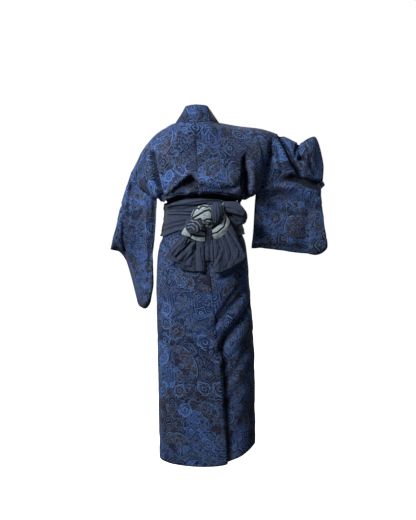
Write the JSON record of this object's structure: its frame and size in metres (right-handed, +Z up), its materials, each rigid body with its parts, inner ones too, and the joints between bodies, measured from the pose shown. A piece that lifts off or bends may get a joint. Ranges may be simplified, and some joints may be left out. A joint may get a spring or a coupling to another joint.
{
  "type": "kimono with sash",
  "caption": "Cotton kimono in its worn, hollow form, left front over right, one sleeve hanging and one raised, with a soft sash wound round the waist and knotted behind.",
  "frame": {"origin": "On the shoulder line, in the middle of the body at the sides of the neck, where the wearer's shoulders carry the garment.", "axes": "+Z up along the body towards the collar, -Y out of the front of the garment, +X towards the wearer's left, where the hanging sleeve is."},
  "size_m": [0.7914, 0.3775, 1.3055],
  "materials": {
    "printed_cotton": "matte",
    "sash_cotton": "matte",
    "sash_pale_band": "matte"
  },
  "bodies": {
    "root": {"back_left": "printed_cotton", "back_right": "printed_cotton", "front_left": "printed_cotton", "front_right": "printed_cotton", "overlap_left": "printed_cotton", "overlap_right": "printed_cotton", "collar_left": "printed_cotton", "collar_right": "printed_cotton", "sleeve_left_back": "printed_cotton", "sleeve_left_front": "printed_cotton", "sleeve_right": "printed_cotton", "sash_wrap": "sash_cotton", "sash_loop": "sash_cotton", "sash_knot": "sash_cotton", "sash_core": "sash_pale_band", "sash_core_low": "sash_pale_band", "sash_gather": "sash_cotton", "sash_band_left": "sash_pale_band", "sash_band_right": "sash_pale_band", "sash_fold_between": "sash_cotton", "sash_tail_left": "sash_cotton", "sash_tail_right": "sash_cotton", "sash_tail_middle": "sash_cotton"}
  },
  "joints": []
}
